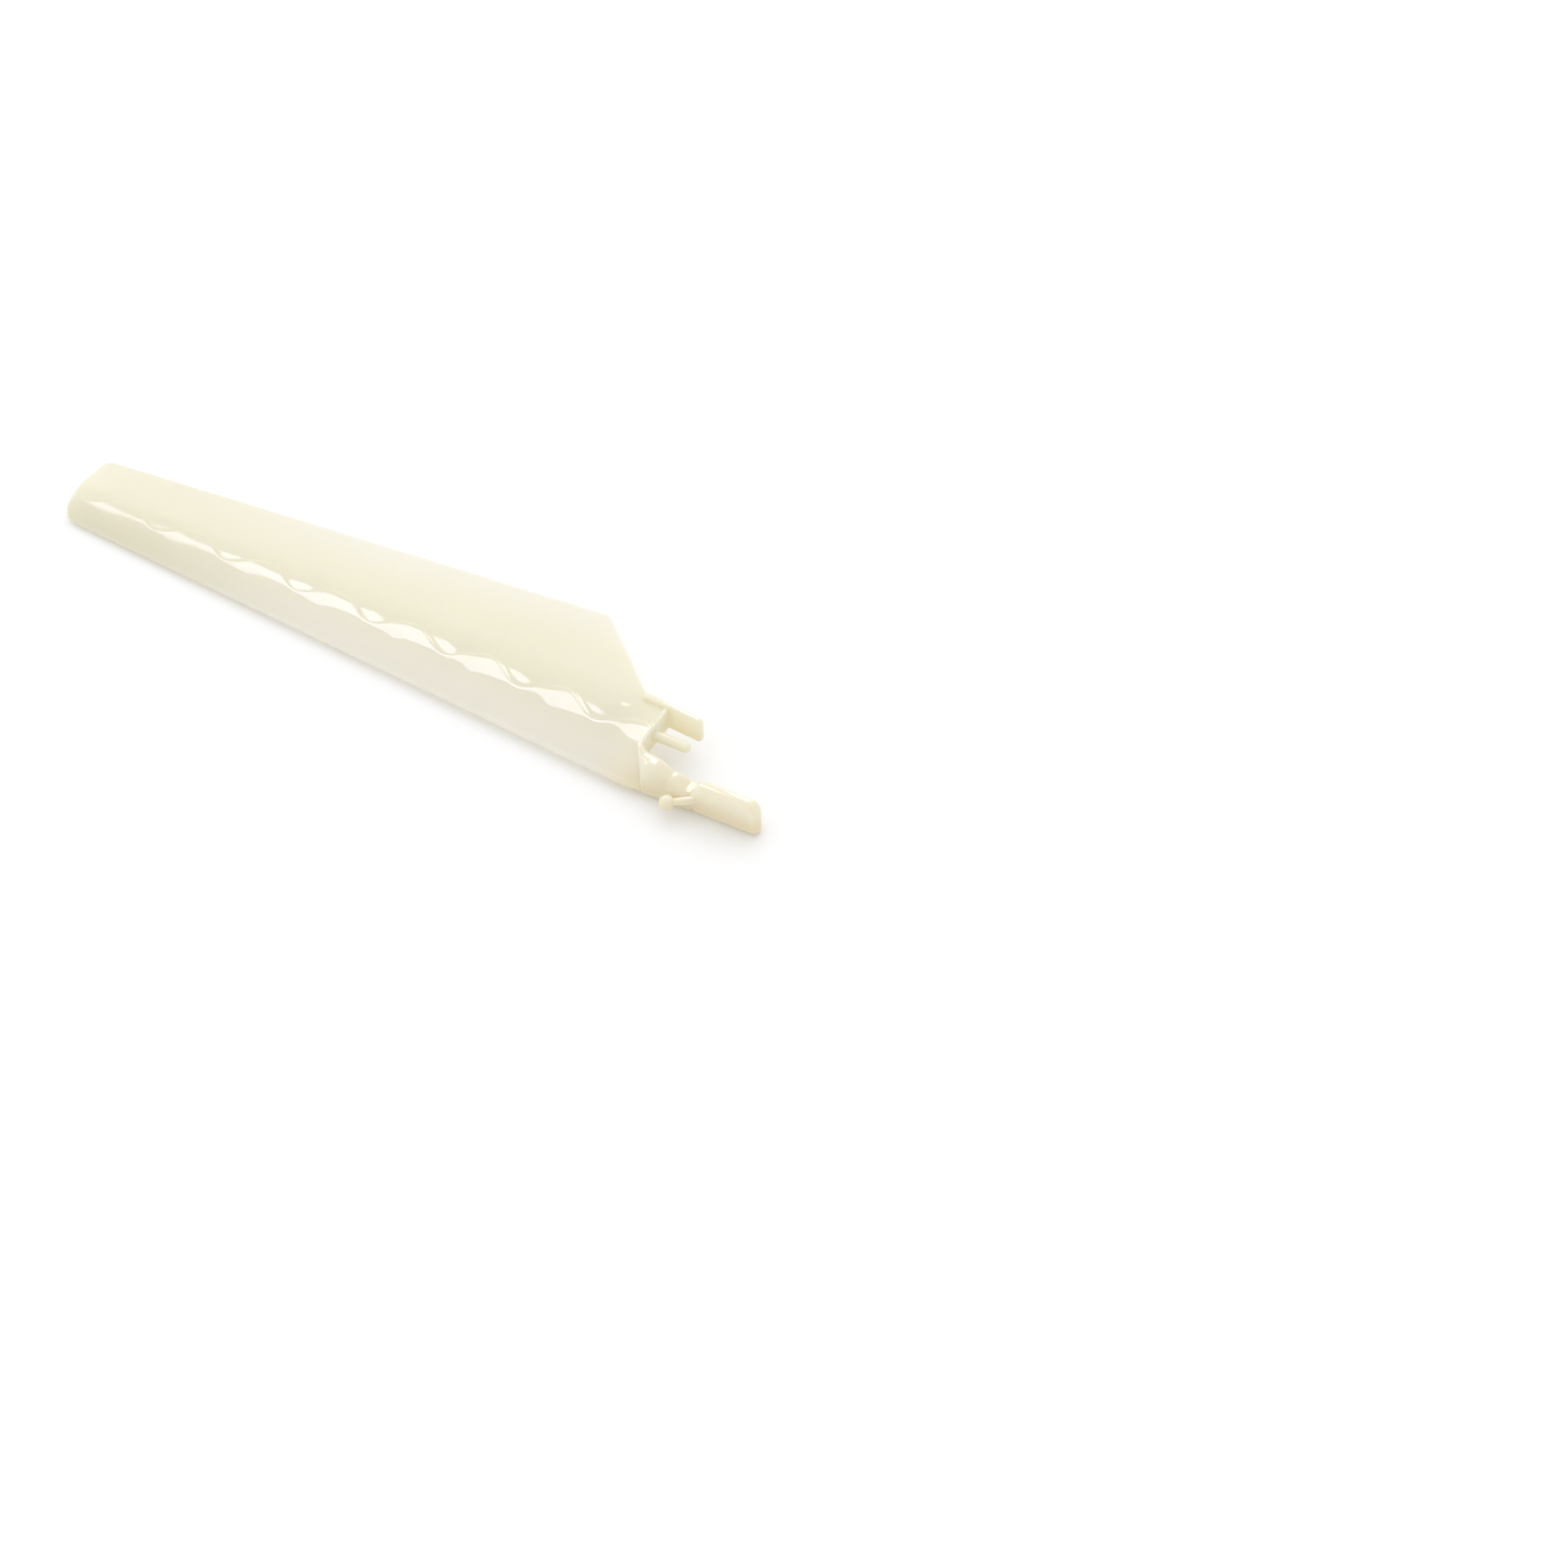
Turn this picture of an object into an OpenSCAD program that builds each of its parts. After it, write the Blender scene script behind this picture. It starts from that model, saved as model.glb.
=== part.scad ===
// Clip-in rotor blade of a micro indoor helicopter, one thin moulding.
// X runs outboard along the spindle axis, Y points to the leading edge, Z is up.
// The origin is on the spindle axis, at the shoulder where the spindle pin leaves the root wall.

/* [Blade plan] */
// spindle shoulder to the leading corner of the tip
span = 86.5; // [70:0.1:110]
// leading edge ahead of the spindle axis at the shoulder
le_root = 7; // [6.8:0.05:7.3]
// angle of the leading edge to the spindle axis, in degrees
le_sweep = 5.4; // [4:0.1:6.5]
// chord at the shoulder, where the trailing edge would reach it
root_chord = 26.75; // [24:0.05:30]
// chord at the leading corner of the tip
tip_chord = 12.2; // [9:0.1:15]
// how far the trailing corner of the tip stands outboard of the leading one
tip_rake = 1.9; // [0:0.1:4]
// rounding of the leading corner of the tip
tip_le_r = 1.6; // [0.5:0.1:3]
// rounding of the trailing corner of the tip
tip_te_r = 1.4; // [0.5:0.1:3]
// shoulder to the inner corner of the trailing edge
te_corner_x = 17.1; // [12:0.1:24]
// rounding of that corner
te_corner_r = 0.8; // [0.3:0.1:2]
// shoulder to the place where the inner edge of the blade meets the leg
edge_meet = 3.1; // [2:0.1:3.4]

/* [Blade section] */
// height of the arch, as a share of the chord
camber = 0.136; // [0.1:0.002:0.16]
// share of the chord from which the section runs straight to the trailing edge
straight_from = 0.5; // [0.45:0.01:0.6]
// how sharply the front of the arch bends
bend_power = 2.5; // [2:0.1:3]
// radius of the rounded leading edge at the shoulder
nose_r = 0.62; // [0.5:0.02:0.75]
// thickness at the trailing edge, reckoned at the shoulder
te_t = 0.5; // [0.4:0.02:0.7]
// height of the spindle axis over the surface the blade lies on
axis_h = 3.4; // [3.1:0.05:3.7]
// height of the leading edge's centre over that surface, at the shoulder
le_h = 0.94; // [0.8:0.02:1.2]

/* [Wave step] */
// depth of the step that thickens the front of the upper side
step_t = 0.18; // [0.08:0.01:0.3]
// length of one wave
wave_pitch = 11.1; // [8:0.1:14]
// half the height of a wave in plan
wave_amp = 1; // [0.4:0.05:1.4]
// middle of the wave behind the leading edge, at the shoulder
wave_root = 6.1; // [5.4:0.05:6.6]
// middle of the wave behind the leading edge, at the tip
wave_tip = 3.9; // [3.2:0.05:4.6]
// first crest from the shoulder
wave_start = 1.65; // [0:0.05:3]

/* [Root walls] */
// thickness of the root wall across the blade
wall_t = 0.5; // [0.4:0.05:0.8]
// top of the root wall at its leading end, over the resting surface
wall_h = 4.5; // [4.4:0.05:4.7]
// leading end of the root wall, from the spindle axis
wall_front = 3.2; // [3.1:0.05:3.3]
// thickness of the trailing leg
leg_t = 0.65; // [0.5:0.05:0.9]
// outer face of the leg from the spindle axis, at the shoulder
leg_out = 4; // [3.7:0.05:4.3]
// splay of the leg to the spindle axis, in degrees
leg_splay = 5.5; // [3:0.1:7]
// free length of the leg past the shoulder
leg_free = 4.4; // [3.5:0.1:6]
// length of the leg along the blade
leg_rooted = 4.2; // [3:0.1:5]
// underside of the leg over the resting surface
leg_low = 1.8; // [1.4:0.05:2.1]
// top of the leg over the resting surface
leg_top = 5.25; // [5.05:0.05:5.5]
// rounding of the leg's ends
leg_r = 0.7; // [0.3:0.05:1]

/* [Spindle pin] */
// diameter of the pin
pin_d = 1.3; // [1:0.05:1.6]
// length of the pin past the shoulder
pin_l = 4.7; // [3:0.1:6]
// chamfer at its free end
pin_chamfer = 0.15; // [0.05:0.05:0.3]

/* [Arm and clip bar] */
// end of the clip bar from the shoulder
bar_end = 17.4; // [15:0.1:20]
// inner face of the clip bar from the spindle axis
bar_in = 3.7; // [3.5:0.05:3.9]
// outer face of the clip bar
bar_out = 6.6; // [6.4:0.05:6.8]
// top of the ledge over the resting surface
ledge_h = 2.7; // [2.4:0.05:3]
// how far the ledge stops short of the end of the bar
ledge_short = 1.1; // [0.5:0.1:2]
// thickness of the upright over the ledge
upright_t = 1.9; // [1.65:0.05:2.1]
// top of the upright over the resting surface
upright_h = 4.75; // [4.4:0.05:5.2]
// where the upright starts to rise
upright_start = 7.7; // [7.4:0.1:8.4]
// inner face of the arm where it leaves the blade
arm_in = 3.1; // [2.9:0.05:3.3]
// top of the arm's hump over the resting surface
arm_h = 4.25; // [4:0.05:4.4]
// top of the arm's neck over the resting surface
neck_h = 3.2; // [3.05:0.05:3.5]

/* [Link ball] */
// diameter of the ball
ball_d = 1.9; // [1.6:0.05:2.2]
// ball centre past the shoulder
ball_x = 6.2; // [5.8:0.05:6.6]
// ball centre ahead of the spindle axis
ball_y = 8; // [7.8:0.05:8.4]
// ball centre over the resting surface
ball_h = 2.05; // [1.8:0.05:2.3]
// diameter of the stalk at the ball
stalk_d = 0.85; // [0.7:0.05:1]

/* [Hidden] */

floor_z = -axis_h;
leg_mid = -leg_out + leg_t / 2;
edge_gap = 0.05;
past = 4;
tall = 20;
chord_steps = 30;
corner_steps = 5;
wave_steps = 14;

function mix(a, b, t) = a + (b - a) * t;
function ease(t) = let (u = max(0, min(1, t))) u * u * (3 - 2 * u);
function unit(v) = v / norm(v);

// plan of the blade: all its lines run to one point far past the tip, on the resting surface
apex_x = span * root_chord / (root_chord - tip_chord);
apex = [apex_x, le_root - apex_x * tan(le_sweep), floor_z];
function le_y(x) = le_root - x * tan(le_sweep);
function te_y(x) = le_y(x) - root_chord * (1 - x / apex_x);

// arc of radius r in the corner at b, between the legs to a and c
function corner(a, b, c, r) =
    let (u = unit(a - b), v = unit(c - b))
    let (half = acos(u * v) / 2, back = r / tan(half))
    let (mid = b + unit(u + v) * r / sin(half))
    let (from = b + u * back - mid, to = b + v * back - mid)
    let (turn = 180 - 2 * half, start = atan2(from.y, from.x))
    let (way = sign(from.x * to.y - from.y * to.x))
    [for (i = [0 : corner_steps]) let (t = start + way * turn * i / corner_steps)
        mid + r * [cos(t), sin(t)]];

// section at the shoulder: its middle line is an arch that runs straight to the trailing edge
crest = straight_from * (1 - pow(straight_from / bend_power, 1 / (bend_power - 1)));
function front(s) = max(0, 1 - s / straight_from);
function arch(s) = 1 - s - pow(front(s), bend_power);
function arch_slope(s) = bend_power / straight_from * pow(front(s), bend_power - 1) - 1;
rise = camber / arch(crest) * root_chord;
function mid_z(s) = floor_z + mix(le_h, te_t / 2, s) + rise * arch(s);
function mid_slope(s) = te_t / 2 - le_h + rise * arch_slope(s);
function half_t(s) =
    let (back = max(0, 1 - s * root_chord / nose_r))
    mix(nose_r, te_t / 2, s) * sqrt(1 - back * back);

// point at share s of the chord, at height t over the middle line, carried along to x
function skin(x, s, t) =
    let (at = [le_root - s * root_chord, mid_z(s)] + t * unit([mid_slope(s), root_chord]))
    mix([0, at.x, at.y], apex, x / apex_x);

shares = [for (i = [0 : chord_steps]) 1 - cos(90 * i / chord_steps)];
step_blend = 4 * nose_r;
function over(s) = step_t * ease(s * root_chord / step_blend);
function blade_ring(x) = concat(
    [for (s = shares) skin(x, s, half_t(s) + over(s))],
    [for (i = [chord_steps : -1 : 1]) skin(x, shares[i], -half_t(shares[i]))]);

// room over the thin rear part, which the wave step bounds at the front
rear_from = 0.04;
rear = [for (s = shares) if (s > rear_from) s];
function up(p) = [p.x, p.y, tall];
function room_ring(x) =
    let (low = [for (s = rear) skin(x, s, half_t(s))], out = low[len(low) - 1] - [0, past, 0])
    concat(low, [out, up(out), up(low[0])]);

function wave_y(x) = le_y(x) - mix(wave_root, wave_tip, x / span)
    - wave_amp * cos(360 * (x - wave_start) / wave_pitch);

// closed solid through a row of rings with the same number of points
module loft(rings) {
    n = len(rings[0]);
    last = len(rings) - 1;
    sides = [for (k = [0 : last - 1], i = [0 : n - 1]) let (j = (i + 1) % n) [k * n + i, k * n + j, n]];
    polyhedron(
        points = [for (r = rings) each r],
        faces = concat(
            [[for (i = [n - 1 : -1 : 0]) i]],
            [for (q = sides) [q.x, q.y, q.y + n]],
            [for (q = sides) [q.x, q.y + n, q.x + n]],
            [[for (i = [0 : n - 1]) last * n + i]]),
        convexity = 6);
}

// plan outline with its rounded corners; its front runs on past the shoulder into the arm
inner_x = 0.1;
front_run = 1.9;
front_in = 0.25;
module plan() {
    head = [inner_x, le_y(inner_x) + edge_gap];
    tip_le = [span, le_y(span) + edge_gap];
    tip_te = [span + tip_rake, te_y(span + tip_rake)];
    te_corner = [te_corner_x, te_y(te_corner_x)];
    leg_foot = [edge_meet, leg_mid - edge_meet * tan(leg_splay)];
    polygon(concat(
        [head],
        corner(head, tip_le, tip_te, tip_le_r),
        corner(tip_le, tip_te, te_corner, tip_te_r),
        corner(tip_te, te_corner, leg_foot, te_corner_r),
        [leg_foot, [inner_x, leg_mid], [inner_x, arm_in + bury]],
        [[-front_run, arm_in + bury], [-front_run, le_root - front_in]]));
}

module wave_side() {
    to = span + past;
    polygon(concat(
        [for (x = [-past : wave_pitch / wave_steps : to]) [x, wave_y(x)]],
        [[to, -2 * tall], [-past, -2 * tall]]));
}

module aerofoil() {
    intersection() {
        difference() {
            loft([blade_ring(span + past), blade_ring(-past)]);
            intersection() {
                loft([room_ring(-past - 1), room_ring(span + past + 1)]);
                translate([0, 0, -tall]) linear_extrude(3 * tall) wave_side();
            }
        }
        translate([0, 0, -tall]) linear_extrude(2 * tall) plan();
    }
}

// side view of the leg, rounded at both ends, then stood on edge
module leg() {
    low = floor_z + leg_low;
    high = floor_z + leg_top;
    a = [-leg_free, low];
    b = [leg_rooted, low];
    c = [leg_rooted, high];
    d = [-leg_free, high];
    rotate([0, 0, -leg_splay])
        translate([0, -leg_out + leg_t, 0]) rotate([90, 0, 0]) linear_extrude(leg_t)
            polygon(concat(corner(d, a, b, leg_r), corner(a, b, c, leg_r),
                corner(b, c, d, leg_r), corner(c, d, a, leg_r)));
}

// wall across the end of the blade, a little lower than the leg
wall_drop = 0.25;
module root_wall() {
    rotate([90, 0, 90]) linear_extrude(wall_t)
        polygon([[leg_mid, floor_z + leg_low], [wall_front, floor_z + leg_low],
            [wall_front, floor_z + wall_h], [leg_mid, floor_z + leg_top - wall_drop]]);
}

module pin() {
    rotate([0, -90, 0]) {
        translate([0, 0, -wall_t / 2])
            cylinder(d = pin_d, h = pin_l + wall_t / 2 - pin_chamfer, $fn = 48);
        translate([0, 0, pin_l - pin_chamfer])
            cylinder(d1 = pin_d, d2 = pin_d - 2 * pin_chamfer, h = pin_chamfer, $fn = 48);
    }
}

// bar section from y0 to y1 and z0 to z1
// its corners are rounded by the radii in r: outer top, inner top, inner foot, outer foot
function bar_corner(x, y, z, r, a) =
    [for (i = [0 : corner_steps]) let (t = a + 90 * i / corner_steps) [x, y + r * cos(t), z + r * sin(t)]];
function bar_ring(x, y0, y1, z0, z1, r) = concat(
    bar_corner(x, y1 - r[0], z1 - r[0], r[0], 0),
    bar_corner(x, y0 + r[1], z1 - r[1], r[1], 90),
    bar_corner(x, y0 + r[2], z0 + r[2], r[2], 180),
    bar_corner(x, y1 - r[3], z0 + r[3], r[3], 270));

// how far a rounded end of radius r has drawn in at d from its tip
function drawn_in(d, r) = d >= r ? 0 : r - sqrt(r * r - (r - d) * (r - d));
function end_stops(to, r) = [for (i = [corner_steps : -1 : 0]) to - r * pow(i / corner_steps, 2)];
function run(from, to, n) = [for (i = [0 : n - 1]) mix(from, to, i / n)];

// the arm starts as the rounded end of the root wall, widens to the blade's front as a hump,
// falls to the neck and runs on as the ledge
arm_from = -0.3;
rim_in = 0.5;
rim_w = 0.95;
rim_r = 0.35;
rim_to = 1.2;
rim_up = 0.06;
wide_to = 2;
hump_x = 2.8;
neck_x = 5.2;
bury = 0.5;
bar_r = 0.4;
foot_r = 1.2;
crown_r = 0.75;
hump_r = 1.8;
neck_r = 0.9;
ledge_end = bar_end - ledge_short;
upright_rise = 1.8;
rise_end = upright_start + upright_rise;
function arm_ring(x) =
    let (widen = max(0, min(1, (x - arm_from) / (wide_to - arm_from))))
    let (crown = ease((x - arm_from) / (rim_to - arm_from)), dip = ease((x - hump_x) / (neck_x - hump_x)))
    let (level = ease((x - neck_x) / (upright_start - neck_x)), along = ease(x / neck_x))
    let (under = ease((x - upright_start) / (rise_end - upright_start)))
    let (e = drawn_in(ledge_end - x, bar_r))
    bar_ring(-x,
        mix(arm_in, bar_in, along) - rim_in * pow(1 - crown, 2) + e,
        mix(arm_in - rim_in + rim_w, mix(le_root - edge_gap, bar_out, along), widen) - bury * under - e,
        floor_z + mix(bar_r, edge_gap, along) + e,
        floor_z + mix(mix(mix(wall_h + rim_up, arm_h, crown), neck_h, dip), ledge_h, level) - e,
        [mix(mix(rim_r, hump_r, widen), neck_r, level), mix(mix(rim_r, crown_r, crown), bar_r, dip),
            bar_r, mix(bar_r, neck_r, widen)]);
module arm() {
    loft([for (x = concat(run(arm_from, hump_x, 12), run(hump_x, neck_x, 6), run(neck_x, upright_start, 4),
        run(upright_start, rise_end, 4), [rise_end], end_stops(ledge_end, bar_r))) arm_ring(x)]);
}

// the upright grows out of the neck and ends in a round
upright_r = 0.5 * upright_t;
upright_in_r = 0.34 * upright_t;
end_r = 0.47 * upright_t;
end_keep = 0.03;
function upright_ring(x) =
    let (grow = ease((x - upright_start) / (rise_end - upright_start)))
    let (e = drawn_in(bar_end - x, end_r), keep = mix(1, end_keep, e / end_r))
    bar_ring(-x,
        bar_out - upright_t + e,
        bar_out - bury * (1 - grow) / 2 - e,
        floor_z + bar_r * (1 - grow) + e,
        floor_z + mix(ledge_h - bar_r, upright_h, grow) - e,
        keep * [upright_r, upright_in_r, bar_r, mix(neck_r, foot_r, grow)]);
module upright() {
    loft([for (x = concat(run(upright_start, rise_end, 8), [rise_end], end_stops(bar_end, end_r)))
        upright_ring(x)]);
}

// ball on a tapered stalk that springs from the outer side of the neck
stalk_taper = 1.3;
module link_ball() {
    at = [-ball_x, ball_y, floor_z + ball_h];
    from = [-rise_end, bar_out - bury, floor_z + ledge_h - bar_r / 2];
    way = at - from;
    translate(at) sphere(d = ball_d, $fn = 48);
    translate(from) rotate([0, acos(way.z / norm(way)), atan2(way.y, way.x)])
        cylinder(d1 = stalk_d * stalk_taper, d2 = stalk_d, h = norm(way), $fn = 32);
}

module rotor_blade() {
    color([0.96, 0.94, 0.86]) {
        aerofoil();
        root_wall();
        leg();
        pin();
        arm();
        upright();
        link_ball();
    }
}

rotor_blade();
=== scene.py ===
# %% [markdown]
# # A clip-in rotor blade for a micro helicopter
# The object is one thin moulding of glossy cream plastic, lying on a white table.
# The packed solid gives its frame: X runs along the spindle pin to the tip, Y to the leading edge, Z up.
# The solid is true in shape but has flat facets. A glossy part shows every facet in its reflections,
# so this lesson makes the moulding again as one smooth skin, and lets it stand for the solid.

# %% Load the frame
import math

import bmesh
import bpy
import mathutils
import numpy as np
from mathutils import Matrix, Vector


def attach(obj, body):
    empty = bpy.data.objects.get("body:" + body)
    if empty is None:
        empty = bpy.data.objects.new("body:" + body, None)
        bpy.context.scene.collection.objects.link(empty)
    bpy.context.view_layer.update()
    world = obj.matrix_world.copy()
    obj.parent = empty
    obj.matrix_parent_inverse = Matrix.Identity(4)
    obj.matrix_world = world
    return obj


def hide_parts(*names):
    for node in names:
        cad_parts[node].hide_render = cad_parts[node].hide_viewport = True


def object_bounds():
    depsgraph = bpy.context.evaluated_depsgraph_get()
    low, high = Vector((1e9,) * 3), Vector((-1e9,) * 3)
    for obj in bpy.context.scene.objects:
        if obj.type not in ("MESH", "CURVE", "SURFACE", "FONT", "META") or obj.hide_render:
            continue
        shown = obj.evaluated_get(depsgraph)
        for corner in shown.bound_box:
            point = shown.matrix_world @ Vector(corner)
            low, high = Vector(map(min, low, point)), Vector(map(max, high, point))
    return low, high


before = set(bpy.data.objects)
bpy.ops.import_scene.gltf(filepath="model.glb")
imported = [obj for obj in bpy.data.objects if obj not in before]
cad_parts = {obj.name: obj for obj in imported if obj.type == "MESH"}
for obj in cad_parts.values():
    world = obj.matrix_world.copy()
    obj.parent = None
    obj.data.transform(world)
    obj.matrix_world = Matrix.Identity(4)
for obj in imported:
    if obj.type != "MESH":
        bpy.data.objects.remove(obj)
cad_box = [[float(n) for n in corner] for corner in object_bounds()]
MM = 0.001


def in_mm(box):
    return [[round(n / MM, 2) for n in corner] for corner in box]


print("solid box in mm:", in_mm(cad_box))

# %% [markdown]
# ## The camera
# A long lens looks down on the table from the side of the leading edge.
# Its place was worked out from the perspective of the corners, and it does not roll.
# A camera looks along its own minus Z, so a tracking turn points that axis at the place it looks at.

# %% Camera


def new_object(name, data):
    made = bpy.data.objects.new(name, data)
    bpy.context.collection.objects.link(made)
    return made


camera_at = np.array([-190.9, 315.6, 350.8]) * MM
looks_at = np.array([-15.7, -3.2, -3.4]) * MM
lens = bpy.data.cameras.new("table_camera")
lens.lens = 98.83
lens.sensor_width = 36
lens.clip_start = 0.01
camera = new_object("table_camera", lens)
camera.location = camera_at
camera_way = mathutils.Vector(looks_at) - mathutils.Vector(camera_at)
camera.rotation_euler = camera_way.to_track_quat("-Z", "Y").to_euler()
bpy.context.scene.camera = camera
print("camera distance in mm:", round(camera_way.length / MM, 1))

# %% [markdown]
# ## A calculator for node trees
# A rule such as "the arch is one minus the share, less a power of the front" is easy to read as a sum.
# In a node tree every sign of that sum is a Math node. This small class lets the rule be written as a sum:
# each plus or times adds one Math node and links it, so the tree and the formula stay the same thing.

# %% Sums that become Math nodes


class Measure:
    """A number that runs through a node tree. Its signs add Math nodes to the tree."""

    def __init__(self, tree, socket):
        self.tree = tree
        self.socket = socket

    def sign(self, operation, *others):
        made = self.tree.nodes.new("ShaderNodeMath")
        made.operation = operation
        for place, value in zip(made.inputs, (self, *others)):
            if isinstance(value, Measure):
                self.tree.links.new(value.socket, place)
            else:
                place.default_value = value
        return Measure(self.tree, made.outputs[0])

    def __add__(self, other):
        return self.sign("ADD", other)

    def __sub__(self, other):
        return self.sign("SUBTRACT", other)

    def __mul__(self, other):
        return self.sign("MULTIPLY", other)

    def __truediv__(self, other):
        return self.sign("DIVIDE", other)

    def __pow__(self, other):
        return self.sign("POWER", other)

    def __neg__(self):
        return self * -1

    def __rsub__(self, other):
        return -self + other

    __radd__ = __add__
    __rmul__ = __mul__

    def least(self, other):
        return self.sign("MINIMUM", other)

    def most(self, other):
        return self.sign("MAXIMUM", other)

    def within(self):
        """The number held between 0 and 1."""
        return self.most(0).least(1)

    def ease(self):
        """The number held between 0 and 1, leaving the one and reaching the other softly."""
        share = self.within()
        return share * share * (3 - 2 * share)


def mix(a, b, share):
    """The way from a to b, for measures and for plain numbers."""
    return a + share * (b - a)


def rounding(depth, radius):
    """How far a rounded edge has drawn in at a depth from the edge."""
    left = (radius - depth).most(0)
    return radius - (radius * radius - left * left).most(0).sign("SQRT")


print("calculator ready:", Measure.__doc__)

# %% [markdown]
# ## The plastic
# The moulding is a cream plastic, glossy and a little see-through. A painted skin would need seams,
# so every tone is reckoned from the place on the piece, by its Object coordinates.
# A slow cloud of noise varies the tone, as in real mouldings. A very fine one breaks up the gloss, so that
# the reflections are not those of a mirror.

# %% Plastic and its noise


def node(tree, kind, **values):
    """A new node with values for its inputs. An underscore stands for the space in an input's name."""
    made = tree.nodes.new(kind)
    for name, value in values.items():
        made.inputs[name.replace("_", " ")].default_value = value
    return made


plastic = bpy.data.materials.new("cream_plastic")
plastic.use_nodes = True
skin = plastic.node_tree
nodes, links = skin.nodes, skin.links
shader = nodes["Principled BSDF"]
spot = nodes.new("ShaderNodeTexCoord")
axes = nodes.new("ShaderNodeSeparateXYZ")
links.new(spot.outputs["Object"], axes.inputs[0])
along_x, across_y, height_z = (Measure(skin, axis) for axis in axes.outputs)


def noise(scale, detail):
    made = node(skin, "ShaderNodeTexNoise", Scale=scale, Detail=detail, Roughness=0.5)
    links.new(spot.outputs["Object"], made.inputs["Vector"])
    return Measure(skin, made.outputs["Fac"])


cloud = noise(90.0, 3.0)
grain = noise(2600.0, 2.0)
print("plastic nodes for the place and the noise:", len(nodes))

# %% [markdown]
# The tone changes over the moulding. Along the trailing edge it is thin, and the light of the white table
# through it is painted into the tone as a lighter band.
# Along the leading edge, where it curls over, a painted reflection of the table makes it paler. It greys a
# little to the tip, and at the root, where it is thick, it is warmer. Low on the root a painted warm shade
# darkens it. All these lengths are in metres.

# %% Tones
trail_at, trail_slope, trail_reach = -0.01975, 0.0737, 0.009
lead_at, lead_slope, lead_reach = 0.007, -0.0945, 0.0065
tip_from, tip_reach = 0.045, 0.035
root_from, root_full = 0.006, -0.004
painted_shade_top, painted_shade_fade, table_z = 0.0038, 0.0026, cad_box[0][2]

to_trail = across_y - trail_at - along_x * trail_slope
to_lead = lead_at + along_x * lead_slope - across_y
to_tip = ((along_x - tip_from) / tip_reach).ease()
root_reach = node(skin, "ShaderNodeMapRange", From_Min=root_from, From_Max=root_full)
root_reach.interpolation_type = "SMOOTHSTEP"
links.new(along_x.socket, root_reach.inputs["Value"])
near_root = Measure(skin, root_reach.outputs["Result"])


def blend_colours(share, first, second):
    """A colour between two others, each a plain colour or the outcome of another blend."""
    made = nodes.new("ShaderNodeMix")
    made.data_type = "RGBA"
    links.new(share.socket, made.inputs["Factor"])
    for socket, colour in ((made.inputs[6], first), (made.inputs[7], second)):
        if isinstance(colour, tuple):
            socket.default_value = (*colour, 1)
        else:
            links.new(colour, socket)
    return made.outputs[2]


tone = blend_colours(cloud, (0.67, 0.667, 0.56), (0.69, 0.687, 0.58))
tones_over = {
    # painted light: the table's light through the thin trailing edge, as a lighter tone
    "trailing edge": ((1 - to_trail / trail_reach).ease(), (0.71, 0.703, 0.655)),
    # painted reflection: the white table mirrored in the curled nose, as a paler tone
    "leading edge": ((1 - to_lead / lead_reach).ease(), (0.755, 0.745, 0.705)),
    "tip": (to_tip, (0.665, 0.657, 0.555)),
    "root": (near_root, (0.82, 0.79, 0.66)),
    # painted shade: a warm darker tone low on the thick root, where shadow falls under the bar
    "painted shade low on the root": (((painted_shade_top + table_z - height_z) / painted_shade_fade).ease() * near_root, (0.76, 0.68, 0.49)),
}
for share, colour in tones_over.values():
    tone = blend_colours(share, tone, colour)
links.new(tone, shader.inputs["Base Color"])
print("tones over the cream:", list(tones_over))

# %% [markdown]
# The gloss is high at the root and falls off to the tip, where the reflections are softer.
# Light sinks into such plastic and comes out beside the place it fell on. Subsurface scattering does that.

# %% Gloss and depth
tip_matte = 0.11
gloss = node(skin, "ShaderNodeMapRange", To_Min=0.03, To_Max=0.05)
links.new(cloud.socket, gloss.inputs["Value"])
matte = Measure(skin, gloss.outputs["Result"]) + tip_matte * to_tip
links.new(matte.socket, shader.inputs["Roughness"])
bump = node(skin, "ShaderNodeBump", Strength=0.04, Distance=0.00002)
links.new(grain.socket, bump.inputs["Height"])
links.new(bump.outputs["Normal"], shader.inputs["Normal"])
shader.inputs["IOR"].default_value = 1.5
shader.inputs["Subsurface Weight"].default_value = 0.8
shader.inputs["Subsurface Radius"].default_value = (1.0, 0.85, 0.6)
shader.inputs["Subsurface Scale"].default_value = 0.0018
print("plastic nodes with the tones and the gloss:", len(nodes))

# %% [markdown]
# A thin blade casts a pale shadow, because part of the light goes through it. Light on its way to other
# surfaces, which are the shadow and diffuse rays of the Light Path node, therefore passes in part:
# most through the blade, less through the thicker nose and the root. A translucent share glows from behind.

# %% Light through the plastic
pass_blade, pass_nose, pass_root, nose_reach = 0.8, 0.25, 0.28, 0.003
glow_share = 0.25
path = nodes.new("ShaderNodeLightPath")
to_others = Measure(skin, path.outputs["Is Shadow Ray"]).most(Measure(skin, path.outputs["Is Diffuse Ray"]))
pass_front = mix(pass_blade, pass_nose, (1 - to_lead / nose_reach).ease())
passing = to_others * mix(pass_front, pass_root, near_root)
behind = node(skin, "ShaderNodeBsdfTranslucent", Color=(0.95, 0.92, 0.80, 1.0))
lit_through = node(skin, "ShaderNodeMixShader", Fac=glow_share)
links.new(shader.outputs["BSDF"], lit_through.inputs[1])
links.new(behind.outputs["BSDF"], lit_through.inputs[2])
clear = node(skin, "ShaderNodeBsdfTransparent", Color=(1.0, 0.97, 0.9, 1.0))
through = nodes.new("ShaderNodeMixShader")
links.new(passing.socket, through.inputs["Fac"])
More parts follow.
